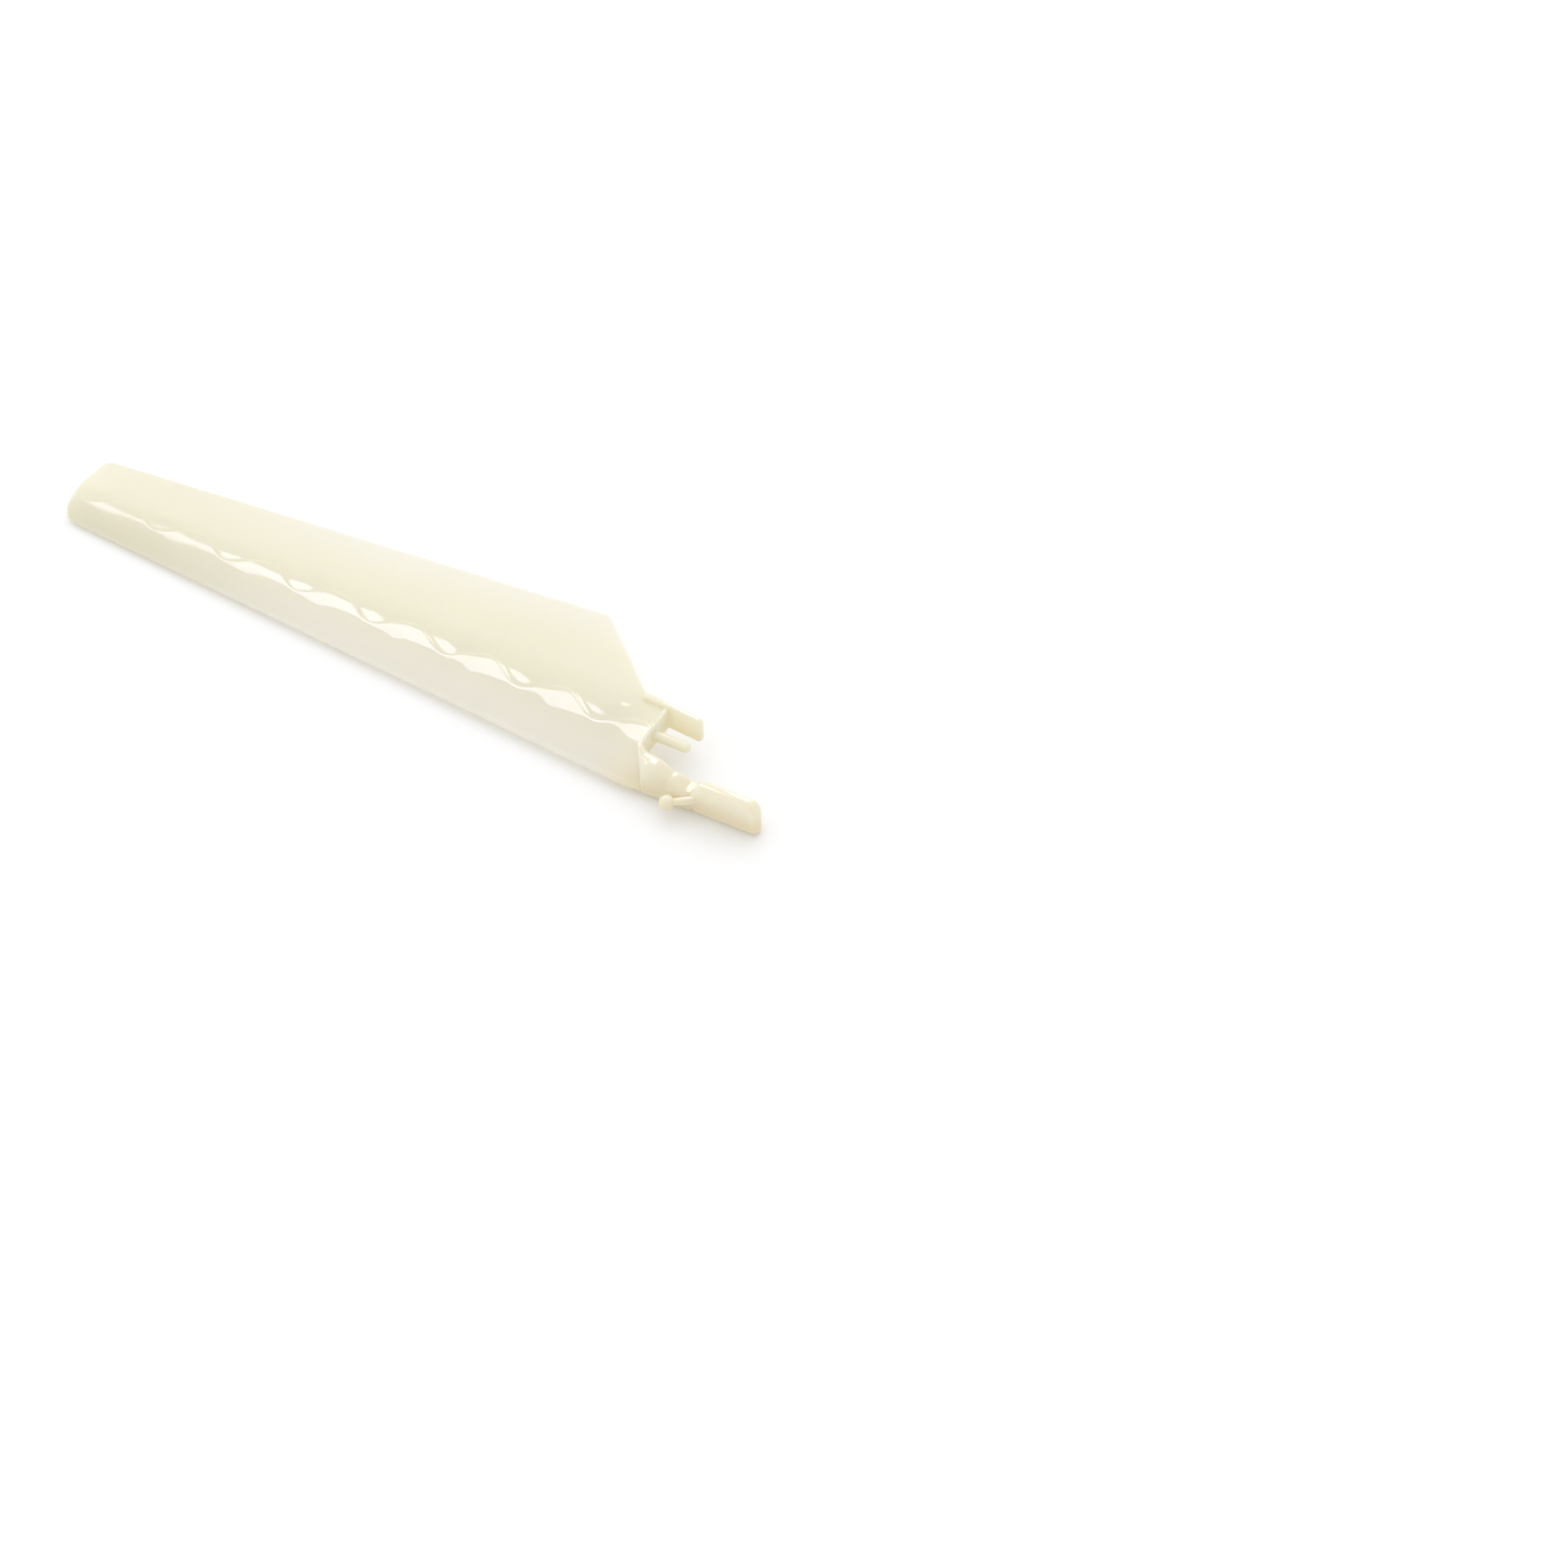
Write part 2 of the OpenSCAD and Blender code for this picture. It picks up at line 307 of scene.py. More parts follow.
links.new(lit_through.outputs["Shader"], through.inputs[1])
links.new(clear.outputs["BSDF"], through.inputs[2])
links.new(through.outputs["Shader"], nodes["Material Output"].inputs["Surface"])
print("plastic nodes in all:", len(nodes))

# %% [markdown]
# ## The sizes of the blade
# From here on sizes are in millimetres. The main ones are those of the solid, apart from the wave, which is
# a fifth higher here. The ripple beside the wave and the soft edges are the skin's own.
# The plan is a long taper. The section is an arch that bends at the front and runs straight to the trailing
# edge. A wave along the span parts the thick front of the upper side from the thin rear.

# %% Sizes
plan = {
    "Span": 86.5, "Leading edge": 7.0, "Sweep": math.tan(math.radians(5.4)),
    "Root chord": 26.75, "Tip chord": 12.2, "Tip rake": 1.9,
    "Tip front rounding": 1.6, "Tip rear rounding": 1.4, "Rear corner": 17.1,
    "Leg line": -3.675, "Leg meets edge": 3.1, "Leg slope": math.tan(math.radians(5.5)),
}
section = {
    "Straight from": 0.5, "Bend power": 2.5, "Nose radius": 0.62,
    "Trailing thickness": 0.5, "Axis height": 3.4, "Leading height": 0.94, "Edge rounding": 0.16,
}
wave = {
    "Step depth": 0.18, "Step width": 0.16, "Step fade": 2.5, "Ripple": 0.062, "Ripple turn": 1.76,
    "Wave pitch": 11.1, "Wave height": 1.2,
    "Wave at root": 6.1, "Wave at tip": 3.9, "First crest": 1.65,
}
camber = 0.136
straight, power = section["Straight from"], section["Bend power"]
crest = straight * (1 - (straight / power) ** (1 / (power - 1)))
arch_at_crest = 1 - crest - (1 - crest / straight) ** power
section["Arch rise"] = camber / arch_at_crest * plan["Root chord"]
blade_sizes = {**plan, **section, **wave}
print("arch rise in mm:", round(section["Arch rise"], 3))

# %% [markdown]
# ## The aerofoil in Geometry Nodes
# The blade follows a rule, so a node tree can make it. The tree starts with a cube that has many rows along
# the span and around the section. Every corner of that cube is then carried to its place on the blade.
# The rows of the upper side follow the wave, so the step gets clean edges with few faces.

# %% Cube with many rows
span_rows = 300
front_rows, step_rows, rear_rows = 26, 6, 44
chord_rows = front_rows + step_rows + rear_rows
tree = bpy.data.node_groups.new("aerofoil_rule", "GeometryNodeTree")
for name, value in blade_sizes.items():
    socket = tree.interface.new_socket(name, in_out="INPUT", socket_type="NodeSocketFloat")
    socket.default_value = value
tree.interface.new_socket("Geometry", in_out="OUTPUT", socket_type="NodeSocketGeometry")
given = tree.nodes.new("NodeGroupInput")
size = {name: Measure(tree, given.outputs[name]) for name in blade_sizes}

cube = tree.nodes.new("GeometryNodeMeshCube")
cube.inputs["Size"].default_value = (1, 1, 1)
cube.inputs["Vertices X"].default_value = span_rows + 1
cube.inputs["Vertices Y"].default_value = chord_rows + 1
cube.inputs["Vertices Z"].default_value = 2
position = tree.nodes.new("GeometryNodeInputPosition")
cube_axes = tree.nodes.new("ShaderNodeSeparateXYZ")
tree.links.new(position.outputs[0], cube_axes.inputs[0])
cube_x, cube_y, cube_z = (Measure(tree, axis) for axis in cube_axes.outputs)
along = 0.5 - 0.5 * ((cube_x + 0.5) * math.pi).sign("COSINE")
row = (0.5 - cube_y) * chord_rows
side = cube_z * 2
print("rows along and across the blade:", span_rows, chord_rows)

# %% [markdown]
# Both long edges run to one point far past the tip, and so do all rows between them. Each row is named by its
# share of the chord, 0 at the leading edge and 1 at the trailing edge. The shares lie closest at the nose,
# where the section bends most.

# %% Rows of the plan
chord = size["Root chord"]
far_x = size["Span"] * chord / (chord - size["Tip chord"])
far_y = size["Leading edge"] - far_x * size["Sweep"]


def leading_y(x):
    return size["Leading edge"] - x * size["Sweep"]


def trailing_y(x):
    return leading_y(x) - chord * (1 - x / far_x)


def wave_line(share):
    """How far the middle of the wave lies behind the leading edge, at a share of the span."""
    return mix(size["Wave at root"], size["Wave at tip"], share)


front = (row / front_rows).within()
step = ((row - front_rows) / step_rows).within()
rear = ((row - front_rows - step_rows) / rear_rows).within()
near_x = along * size["Span"]
near_wave = wave_line(along) / (chord * (1 - near_x / far_x))
plain_share = (near_wave * (1 - (front * (math.pi / 2)).sign("COSINE"))
               + (1 - near_wave) * (rear * (math.pi / 2)).sign("SINE"))
row_y = size["Leading edge"] - plain_share * chord
row_slope = (far_y - row_y) / far_x
print("nodes after the rows:", len(tree.nodes))

# %% [markdown]
# A row ends where it meets the lines that bound the plan. At the tip that is a raked line with two rounded
# corners. At the root it is the shoulder, the line of the leg and the slanting edge behind it.

# %% Ends of the rows
inner_x, front_run, arm_in, bury = 0.1, 1.9, 3.1, 0.5
corner_back, corner_reach, shoulder_soft = 0.33, 0.3, 0.2


def meet(x, y, slope):
    """Where the row meets a line through a point. The slope is the line's run in X for a step back in Y."""
    return (x + slope * (y - row_y)) / (1 + slope * row_slope)


tip_y = leading_y(size["Span"])
tip_slope = size["Tip rake"] / (tip_y - trailing_y(size["Span"] + size["Tip rake"]))
outer_x = (meet(size["Span"], tip_y, tip_slope)
           - rounding(plain_share * size["Tip chord"], size["Tip front rounding"])
           - rounding((1 - plain_share) * size["Tip chord"], size["Tip rear rounding"]))
foot_x = size["Leg meets edge"]
foot_y = size["Leg line"] - foot_x * size["Leg slope"]
edge_slope = (size["Rear corner"] - foot_x) / (foot_y - trailing_y(size["Rear corner"]))
leg_slope = (foot_x - inner_x) / (size["Leg line"] - foot_y)
leg_x = meet(inner_x, size["Leg line"], leg_slope)
edge_x = meet(foot_x, foot_y, edge_slope)
near_corner = (1 - (1 - plain_share) * chord / corner_reach).most(0)
past_shoulder = ((row_y - arm_in - bury) / shoulder_soft + 0.5).within()
root_x = (leg_x.least(edge_x).most(inner_x) + corner_back * near_corner * near_corner
          - (inner_x + front_run) * past_shoulder)
print("nodes after the ends:", len(tree.nodes))

# %% [markdown]
# The wave is a cosine along the span. The rows near it bend to it and hold its step between them, and the
# rows further off bend less. Close to the tip they run straight again, so that the tip keeps its outline.

# %% Rows that follow the wave
wave_hold = 12
x = mix(root_x, outer_x, along)
shrink = 1 - x / far_x
here = chord * shrink
turns = (x - size["First crest"]) * (2 * math.pi) / size["Wave pitch"]
wave_middle = wave_line(x / size["Span"])
wave_share = (wave_middle + size["Wave height"] * turns.sign("COSINE")) / here
straight_tip = ((1 - along) * size["Span"] / size["Step fade"]).ease()
hold = front * front * (1 - rear) ** wave_hold * straight_tip
share = plain_share + (wave_share + (step - 0.5) * size["Step width"] / here - near_wave) * hold
print("nodes after the wave:", len(tree.nodes))

# %% [markdown]
# The section is reckoned once, at the root, and shrinks towards the far point. It has a middle line, half a
# thickness to either side of it with a round nose, and a rounding along the edges of the plan.

# %% Section at the root
thin_left = 0.15
ahead = (1 - share / size["Straight from"]).most(0)
arch = 1 - share - ahead ** size["Bend power"]
arch_slope = size["Bend power"] / size["Straight from"] * ahead ** (size["Bend power"] - 1) - 1
rear_half = size["Trailing thickness"] / 2
middle = (size["Leading height"] - size["Axis height"] + (rear_half - size["Leading height"]) * share
          + size["Arch rise"] * arch)
slope = rear_half - size["Leading height"] + size["Arch rise"] * arch_slope
nose = (1 - share * chord / size["Nose radius"]).most(0)
half = mix(size["Nose radius"], rear_half, share) * (1 - nose * nose).most(0).sign("SQRT")
to_edge = (x - root_x).least(outer_x - x).least((1 - share) * here) / shrink
thinned = (half - rounding(to_edge, size["Edge rounding"])).most(half * thin_left)
print("nodes after the section:", len(tree.nodes))

# %% [markdown]
# In front of the wave the upper side is thicker by the step. The reflections suggest that the surface beside
# the wave ripples a little, as moulded plastic can where its thickness changes. A ripple of a few hundredths
# of a millimetre is enough: it parts the bright band along the arch into lenses.

# %% Thick front and ripple
step_starts, ripple_skew, ripple_to, ripple_soft = 4, 0.175, 3.5, 2.3
fade = ((outer_x - x) / size["Step fade"]).ease()
front_rise = (share * chord / (step_starts * size["Nose radius"])).ease()
thick = size["Step depth"] * front_rise * (1 - step.ease())
ripple_turns = turns - size["Ripple turn"]
ripple = ripple_turns.sign("SINE") + ripple_skew * (2 * ripple_turns).sign("SINE")
from_wave = share * here - wave_middle
near_ripple = ((ripple_to - from_wave.most(-from_wave)) / ripple_soft).ease()
thick = (thick + size["Ripple"] * ripple * near_ripple / shrink) * fade
over = side * thinned + thick * side.most(0)
print("nodes after the ripple:", len(tree.nodes))

# %% [markdown]
# Now every corner can be carried to its place. The height over the middle line is laid off square to it, and
# the whole shrinks towards the far point. The nose draws in a little where it runs past the shoulder.
# Corners that fall together are welded. The tree ends with Realize Instances and Set Material, so that the
# mesh that is kept is whole and has its plastic.

# %% Every corner in its place
front_pull, pull_share, weld_gap = 0.43, 0.15, 2e-7
steepness = (slope * slope + chord * chord).sign("SQRT")
root_y = size["Leading edge"] - share * chord + over * slope / steepness
root_z = middle + over * chord / steepness
pull = front_pull * ((inner_x - x) / (inner_x + front_run)).within() * (1 - share / pull_share).most(0)
found = (x, mix(far_y, root_y, shrink) - pull, mix(-size["Axis height"], root_z, shrink))
place = tree.nodes.new("ShaderNodeCombineXYZ")
for measure, socket in zip(found, place.inputs):
    tree.links.new((measure * MM).socket, socket)
move = tree.nodes.new("GeometryNodeSetPosition")
tree.links.new(cube.outputs["Mesh"], move.inputs["Geometry"])
tree.links.new(place.outputs[0], move.inputs["Position"])
weld = node(tree, "GeometryNodeMergeByDistance", Distance=weld_gap)
real = tree.nodes.new("GeometryNodeRealizeInstances")
finish = node(tree, "GeometryNodeSetMaterial", Material=plastic)
chain = [move, weld, real, finish, tree.nodes.new("NodeGroupOutput")]
for before, after in zip(chain, chain[1:]):
    tree.links.new(before.outputs["Geometry"], after.inputs["Geometry"])
print("nodes in the tree:", len(tree.nodes))

# %% [markdown]
# The modifier that holds the tree gets its sizes by the identifiers of its inputs. What it shows is then kept
# as a plain mesh, and the modifier goes.

# %% Aerofoil mesh


def keep_mesh(thing, name):
    """The mesh that an object shows with its modifiers, as a plain mesh of its own."""
    bpy.context.view_layer.update()
    shown = thing.evaluated_get(bpy.context.evaluated_depsgraph_get())
    mesh = bpy.data.meshes.new_from_object(shown)
    mesh.name = name
    return mesh


aerofoil = new_object("aerofoil", bpy.data.meshes.new("aerofoil"))
rule = aerofoil.modifiers.new("aerofoil_rule", "NODES")
rule.node_group = tree
for item in tree.interface.items_tree:
    if item.in_out == "INPUT":
        rule[item.identifier] = blade_sizes[item.name]
aerofoil_mesh = keep_mesh(aerofoil, "aerofoil_skin")
aerofoil.modifiers.clear()
aerofoil.data = aerofoil_mesh
print("aerofoil faces:", len(aerofoil_mesh.polygons))

# %% [markdown]
# ## The root
# At the hub end the moulding has a wall across the blade, a thin splayed leg, a round spindle pin, an arm
# that swells to a hump and dips to a neck, a clip bar with a ledge, and a ball for the pitch link.
# The bars are lofts through rounded sections. The plates are outlines with bevelled edges, the pin is turned,
# and the ball is a sphere on a tapered stalk. The bevels and the round free corner of the upright are the
# skin's own, because small edges catch the light.

# %% Root sizes
floor_z = -section["Axis height"]
wall_t, wall_h, wall_front, wall_drop, wall_edge = 0.5, 4.5, 3.2, 0.25, 0.08
leg_t, leg_out, leg_splay, leg_free, leg_rooted = 0.65, 4.0, 5.5, 4.4, 4.2
leg_low, leg_top, leg_r, leg_edge = 1.8, 5.25, 0.7, 0.1
pin_r, pin_l, pin_chamfer, pin_round_l, pin_round_r = 0.65, 4.7, 0.15, 0.05, 0.08
bar_end, bar_in, bar_out, ledge_h, ledge_short = 17.4, 3.7, 6.6, 2.7, 1.1
upright_t, upright_h, upright_start, upright_rise = 1.9, 4.75, 7.7, 1.8
arm_h, neck_h, arm_from, wide_to, hump_x, neck_x = 4.25, 3.2, -0.3, 2.0, 2.8, 5.2
rim_in, rim_w, rim_r, rim_to, rim_up = 0.5, 0.95, 0.35, 1.2, 0.06
bar_r, foot_r, crown_r, hump_r, neck_r = 0.4, 1.2, 0.75, 1.8, 0.9
upright_r, upright_in_r, end_r = 0.5 * upright_t, 0.34 * upright_t, 0.47 * upright_t
end_keep, edge_gap, corner_r = 0.03, 0.05, 1.6
ball_r, ball_at, stalk_r, stalk_taper = 0.95, (-6.2, 8.0, floor_z + 2.05), 0.425, 1.3
ledge_end = bar_end - ledge_short
rise_end = upright_start + upright_rise
le_root = plan["Leading edge"]
print("lengths of bar, ledge and pin in mm:", bar_end, round(ledge_end, 2), pin_l)

# %% [markdown]
# A loft needs rings of equally many points. Each ring of a bar is made of four quarter circles, so its edges
# are round in the mesh itself and reflect as such.

# %% Helpers for the root


def smooth(share):
    share = min(max(share, 0), 1)
    return share * share * (3 - 2 * share)


def piece_from(name, points, faces):
    """A closed mesh object from points in millimetres, with its faces turned outwards."""
    mesh = bpy.data.meshes.new(name)
    mesh.from_pydata([tuple(np.asarray(p) * MM) for p in points], [], faces)
    shape = bmesh.new()
    shape.from_mesh(mesh)
    bmesh.ops.recalc_face_normals(shape, faces=shape.faces)
    shape.to_mesh(mesh)
    shape.free()
    mesh.materials.append(plastic)
    return new_object(name, mesh)


def loft(name, rings):
    """A skin over rings of equally many points, closed at both ends."""
    count = len(rings[0])
    points = [p for ring in rings for p in ring]
    faces = []
    for k in range(len(rings) - 1):
        low, high = k * count, (k + 1) * count
        faces += [[low + i, low + (i + 1) % count, high + (i + 1) % count, high + i] for i in range(count)]
    faces += [list(range(count))[::-1], [(len(rings) - 1) * count + i for i in range(count)]]
    return piece_from(name, points, faces)


def arc(y, z, radius, start, steps=10):
    """A quarter of a circle from a start angle in degrees."""
    return [(y + radius * math.cos(math.radians(start + 90 * i / steps)),
             z + radius * math.sin(math.radians(start + 90 * i / steps))) for i in range(steps + 1)]


def bar_ring(x, y0, y1, z0, z1, r):
    """Rounded section of a bar. The radii: outer top, inner top, inner foot, outer foot."""
    flat = (arc(y1 - r[0], z1 - r[0], r[0], 0) + arc(y0 + r[1], z1 - r[1], r[1], 90)
            + arc(y0 + r[2], z0 + r[2], r[2], 180) + arc(y1 - r[3], z0 + r[3], r[3], 270))
    return [(x, y, z) for y, z in flat]


def drawn_in(depth, radius):
    """How far a rounded end has drawn in, for plain numbers."""
    return 0 if depth >= radius else radius - math.sqrt(radius * radius - (radius - depth) ** 2)


def end_stops(to, radius, steps=10):
    """Places along a rounded end, closest at its very end."""
    return [to - radius * (i / steps) ** 2 for i in range(steps, -1, -1)]


print("points in the ring of a bar:", len(bar_ring(0, 0, upright_t, 0, upright_h, [bar_r] * 4)))

# %% [markdown]
# The arm starts as a rim at the wall, swells to a hump, dips to a neck and runs on as the ledge of the clip
# bar. The upright grows out of it and ends in a round corner. Both have sections that change along X,
# so one function gives the section at any place, and the loft joins the sections.

# %% Arm, ledge and upright


def arm_ring(x):
    widen = min(max((x - arm_from) / (wide_to - arm_from), 0), 1)
    crown = smooth((x - arm_from) / (rim_to - arm_from))
    dip = smooth((x - hump_x) / (neck_x - hump_x))
    level = smooth((x - neck_x) / (upright_start - neck_x))
    under = smooth((x - upright_start) / upright_rise)
    to_neck = smooth(x / neck_x)
    e = drawn_in(ledge_end - x, bar_r)
    return bar_ring(
        -x,
        mix(arm_in, bar_in, to_neck) - rim_in * (1 - crown) ** 2 + e,
        mix(arm_in - rim_in + rim_w, mix(le_root - edge_gap, bar_out, to_neck), widen) - bury * under - e,
        floor_z + mix(bar_r, edge_gap, to_neck) + e,
        floor_z + mix(mix(mix(wall_h + rim_up, arm_h, crown), neck_h, dip), ledge_h, level) - e,
        [mix(mix(rim_r, hump_r, widen), neck_r, level), mix(mix(rim_r, crown_r, crown), bar_r, dip),
         bar_r, mix(bar_r, neck_r, widen)])


def upright_ring(x):
    grow = smooth((x - upright_start) / upright_rise)
    e = drawn_in(bar_end - x, end_r)
    keep = mix(1, end_keep, e / end_r)
    return bar_ring(
        -x,
        bar_out - upright_t + e,
        bar_out - bury * (1 - grow) / 2 - e,
        floor_z + bar_r * (1 - grow) + e,
        floor_z + mix(ledge_h - bar_r, upright_h, grow) - max(e, drawn_in(bar_end - x, corner_r)),
        [keep * r for r in (upright_r, upright_in_r, bar_r, mix(neck_r, foot_r, grow))])


hump_steps, neck_steps, under_steps, rise_steps, corner_steps = 48, 12, 14, 20, 24
arm_stops = [*np.linspace(arm_from, neck_x, hump_steps, endpoint=False),
             *np.linspace(neck_x, upright_start, neck_steps, endpoint=False),
             *np.linspace(upright_start, rise_end, under_steps),
             *end_stops(ledge_end, bar_r)]
upright_stops = [*np.linspace(upright_start, rise_end, rise_steps),
                 *end_stops(bar_end, corner_r, corner_steps)]
arm = loft("arm", [arm_ring(x) for x in arm_stops])
upright = loft("upright", [upright_ring(x) for x in upright_stops])
print("arm and upright faces:", len(arm.data.polygons), len(upright.data.polygons))

# %% [markdown]
# The wall and the leg are flat plates. A Bevel modifier softens their edges with few faces.
# The leg is splayed by a small turn about Z, so its outline is drawn flat and turned into place.

# %% Wall and leg
bevel_steps, bevel_from, leg_steps = 3, 40, 8


def plate(name, outline, thickness, edge, to_place):
    """A flat outline given a thickness, with its sharp edges bevelled, then put in place."""
    count = len(outline)
    points = [to_place(a, b, t) for t in (0, thickness) for a, b in outline]
    faces = [list(range(count)), [count + i for i in range(count)][::-1]]
    faces += [[i, count + i, count + (i + 1) % count, (i + 1) % count] for i in range(count)]
    made = piece_from(name, points, faces)
    soft = made.modifiers.new("soft_edge", "BEVEL")
    soft.width = edge * MM
    soft.segments = bevel_steps
    soft.limit_method = "ANGLE"
    soft.angle_limit = math.radians(bevel_from)
    mesh = keep_mesh(made, name)
    made.modifiers.clear()
    made.data = mesh
    return made


def rounded_box(a0, a1, b0, b1, r):
    corners = ((a1 - r, b1 - r, 0), (a0 + r, b1 - r, 90), (a0 + r, b0 + r, 180), (a1 - r, b0 + r, 270))
    return [p for a, b, start in corners for p in arc(a, b, r, start, leg_steps)]


def on_leg(a, b, t):
    y = -leg_out + t
    turn = math.radians(-leg_splay)
    return (a * math.cos(turn) - y * math.sin(turn), a * math.sin(turn) + y * math.cos(turn), b)


leg_outline = rounded_box(-leg_free, leg_rooted, floor_z + leg_low, floor_z + leg_top, leg_r)
leg = plate("leg", leg_outline, leg_t, leg_edge, on_leg)
leg_mid = plan["Leg line"]
wall_outline = [(leg_mid, floor_z + leg_low), (wall_front, floor_z + leg_low),
                (wall_front, floor_z + wall_h), (leg_mid, floor_z + leg_top - wall_drop)]
wall = plate("root_wall", wall_outline, wall_t, wall_edge, lambda a, b, t: (t, a, b))
print("leg and wall faces:", len(leg.data.polygons), len(wall.data.polygons))

# %% [markdown]
# The pin is turned about the spindle axis from a profile with a chamfered end. The link ball sits on a stalk
# that leaves the clip bar at a slant and tapers towards the ball.

# %% Pin, ball and stalk
pin_points, ball_points, ball_rows, stalk_points, stalk_rings = 64, 48, 24, 40, 12


def turned(name, profile):
    """A round piece about the spindle axis, from pairs of distance along it and radius."""
    turn = [2 * math.pi * i / pin_points for i in range(pin_points)]
    return loft(name, [[(-d, r * math.cos(t), r * math.sin(t)) for t in turn] for d, r in profile])


def link_ball():
    shape = bmesh.new()
    bmesh.ops.create_uvsphere(shape, u_segments=ball_points, v_segments=ball_rows, radius=ball_r * MM)
    bmesh.ops.translate(shape, verts=shape.verts, vec=[n * MM for n in ball_at])
    mesh = bpy.data.meshes.new("link_ball")
    shape.to_mesh(mesh)
    shape.free()
    mesh.materials.append(plastic)
    return new_object("link_ball", mesh)


def stalk():
    start = np.array([-rise_end, bar_out - bury, floor_z + ledge_h - bar_r / 2])
    way = np.array(ball_at) - start
    way_unit = way / np.linalg.norm(way)
    across = np.cross(way_unit, [0, 0, 1])
    across /= np.linalg.norm(across)
    upward = np.cross(across, way_unit)
    turn = [2 * math.pi * i / stalk_points for i in range(stalk_points)]
    rings = []
    for share in np.linspace(0, 1, stalk_rings):
        radius = stalk_r * mix(stalk_taper, 1, share)
        middle = start + way * share
        rings.append([middle + radius * (across * math.cos(t) + upward * math.sin(t)) for t in turn])
    return loft("stalk", rings)


pin = turned("spindle_pin", [(-wall_t / 2, pin_r), (pin_l - pin_chamfer, pin_r),
                             (pin_l - pin_round_l, pin_r - pin_round_r), (pin_l, pin_r - pin_chamfer)])
root_pieces = [wall, leg, pin, arm, upright, link_ball(), stalk()]
print("root pieces:", [piece.name for piece in root_pieces])

# %% [markdown]
# ## One moulding
# In the mould all of this is one body of plastic, so the pieces are joined by Boolean unions into one closed
# skin. Light can then scatter from the blade into the root without meeting a hidden wall.

# %% Join the pieces
sharp_from = 38
for piece in root_pieces:
    union = aerofoil.modifiers.new(piece.name, "BOOLEAN")
    union.operation = "UNION"
    union.solver = "MANIFOLD"
    union.object = piece
blade_mesh = keep_mesh(aerofoil, "moulded_blade")
for piece in [*root_pieces, aerofoil]:
    bpy.data.objects.remove(piece)
blade_mesh.materials.clear()
blade_mesh.materials.append(plastic)
blade_mesh.polygons.foreach_set("material_index", [0] * len(blade_mesh.polygons))
blade_mesh.polygons.foreach_set("use_smooth", [True] * len(blade_mesh.polygons))
blade_mesh.set_sharp_from_angle(angle=math.radians(sharp_from))
blade = new_object("moulded_blade", blade_mesh)
check = bmesh.new()
check.from_mesh(blade_mesh)
print("moulded blade triangles:", len(check.calc_loop_triangles()),
      "open edges:", sum(not e.is_manifold for e in check.edges),
      "volume in mm3:", round(check.calc_volume() / MM ** 3, 1))
check.free()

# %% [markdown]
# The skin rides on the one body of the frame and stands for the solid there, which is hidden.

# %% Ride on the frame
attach(blade, "root")
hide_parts("rotor_blade")
print("on the frame:", blade.name)

# %% [markdown]
# ## Table and light
# The blade lies on a white table that shows no edge. The table is a plain pale sheet far wider than the view.

# %% Table
table_reach = 3.0
table_corners = [(a * table_reach, b * table_reach, table_z) for a, b in ((-1, -1), (1, -1), (1, 1), (-1, 1))]
table_mesh = bpy.data.meshes.new("table_top")
table_mesh.from_pydata(table_corners, [], [(0, 1, 2, 3)])
paper = bpy.data.materials.new("white_table")
paper.use_nodes = True
paper_shader = paper.node_tree.nodes["Principled BSDF"]
paper_shader.inputs["Base Color"].default_value = (0.87, 0.87, 0.87, 1)
paper_shader.inputs["Roughness"].default_value = 0.6
table_mesh.materials.append(paper)
table = new_object("table_top", table_mesh)
print("height of the table in mm:", round(table_z / MM, 2))

# %% [markdown]
# Three lamps stand around the blade. The back window and the root window only show as reflections: the one
# gives the bright lenses along the arch, the other the gloss on the root. The side window also lights the
# blade. A lamp's place is given by two angles, because a reflection depends most on the direction.

# %% Lamps
blade_middle = np.array([45, -2, 0]) * MM


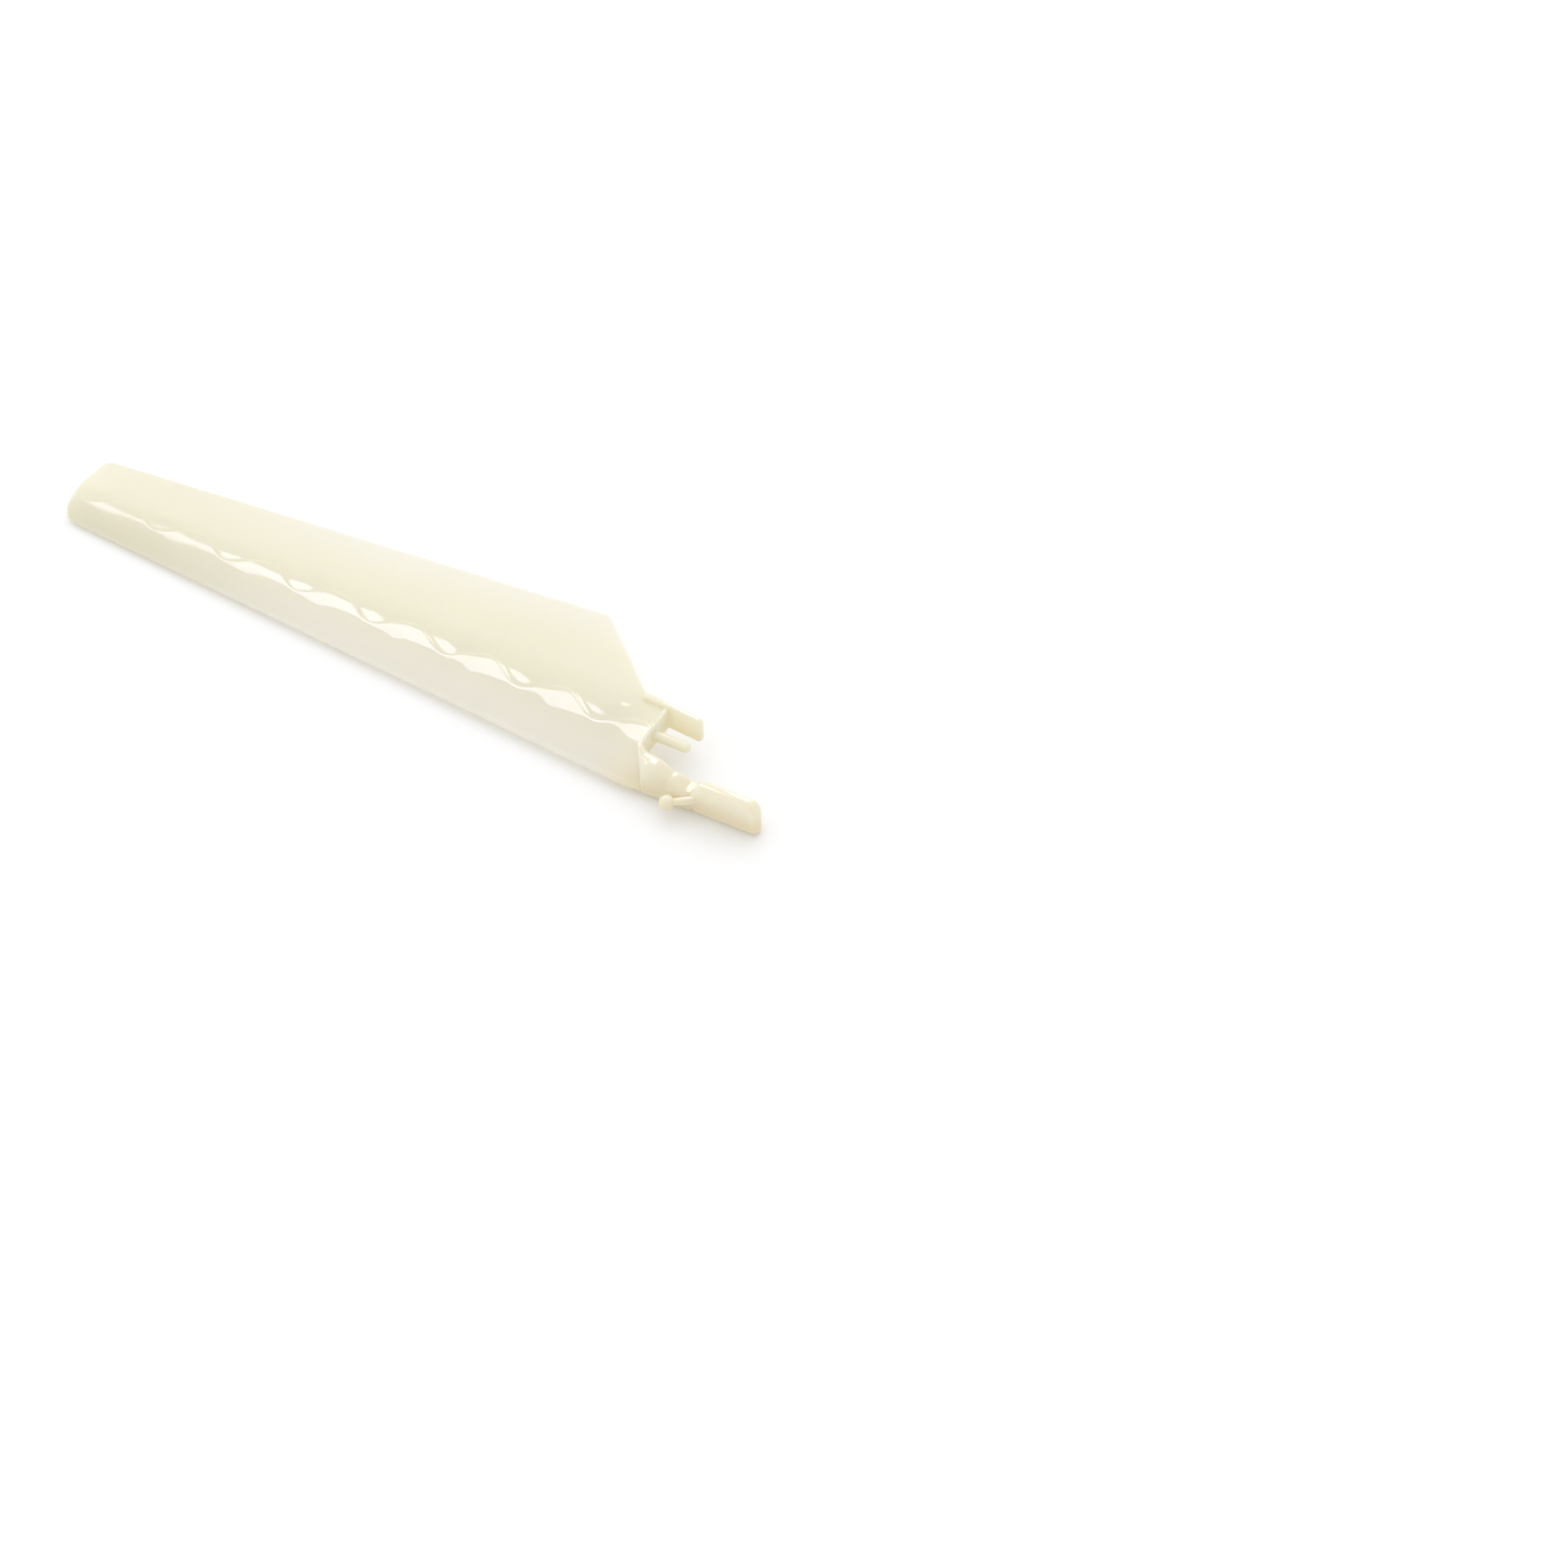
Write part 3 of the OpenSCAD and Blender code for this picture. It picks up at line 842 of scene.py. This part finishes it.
def soft_lamp(name, turn, rise, lean, width, height, power, colour, fills=False):
    """A lamp one metre from the blade, at a turn and a rise seen from it, leaning to one side, in degrees.

    A lamp that fills lights the blade and the table. The others only show as reflections.
    """
    turn, rise, lean = (math.radians(angle) for angle in (turn, rise, lean))
    way = np.array([math.cos(rise) * math.cos(turn), math.cos(rise) * math.sin(turn), math.sin(rise)])
    aside = np.array([-math.sin(turn), math.cos(turn), 0])
    up = np.cross(way, aside) * math.cos(lean) + aside * math.sin(lean)
    across = np.cross(up, way)
    lamp = bpy.data.lights.new(name, "AREA")
    lamp.shape = "RECTANGLE"
    lamp.size, lamp.size_y = width, height
    lamp.energy = power
    lamp.color = colour
    made = new_object(name, lamp)
    made.visible_diffuse = fills
    made.location = blade_middle + way
    made.rotation_euler = mathutils.Matrix([across, up, way]).transposed().to_euler()
    return made


lamps = [
    soft_lamp("back_window", turn=-31.8, rise=54.8, lean=24, width=0.208, height=0.41, power=1.85,
              colour=(0.8, 0.75, 1.0)),
    soft_lamp("root_window", turn=-69.8, rise=46, lean=0, width=0.22, height=0.24, power=1.3,
              colour=(1, 1, 1)),
    soft_lamp("side_window", turn=65, rise=22, lean=0, width=0.9, height=0.5, power=0.6,
              colour=(1, 0.96, 0.94), fills=True),
]
print("lamps:", [lamp.name for lamp in lamps])

# %% [markdown]
# The rest of the light comes from pale surroundings, which fill the shadows. They are brighter behind the
# blade than on the camera's side, so the strength of the World follows the direction.

# %% Pale room
camera_side = (-0.588, 0.809, 0)
far_glow, near_glow = 1.56, 0.73
world = bpy.data.worlds.new("pale_room")
world.use_nodes = True
room = world.node_tree
sky_way = room.nodes.new("ShaderNodeTexCoord")
facing = room.nodes.new("ShaderNodeVectorMath")
facing.operation = "DOT_PRODUCT"
facing.inputs[1].default_value = camera_side
glow = node(room, "ShaderNodeMapRange", From_Min=-1.0, From_Max=1.0, To_Min=far_glow, To_Max=near_glow)
room.links.new(sky_way.outputs["Generated"], facing.inputs[0])
room.links.new(facing.outputs["Value"], glow.inputs["Value"])
room.links.new(glow.outputs["Result"], room.nodes["Background"].inputs["Strength"])
room.nodes["Background"].inputs["Color"].default_value = (1, 1, 1, 1)
bpy.context.scene.world = world
bpy.context.scene.view_settings.view_transform = "Standard"
print("glow of the room, far side and camera's side:", far_glow, near_glow)
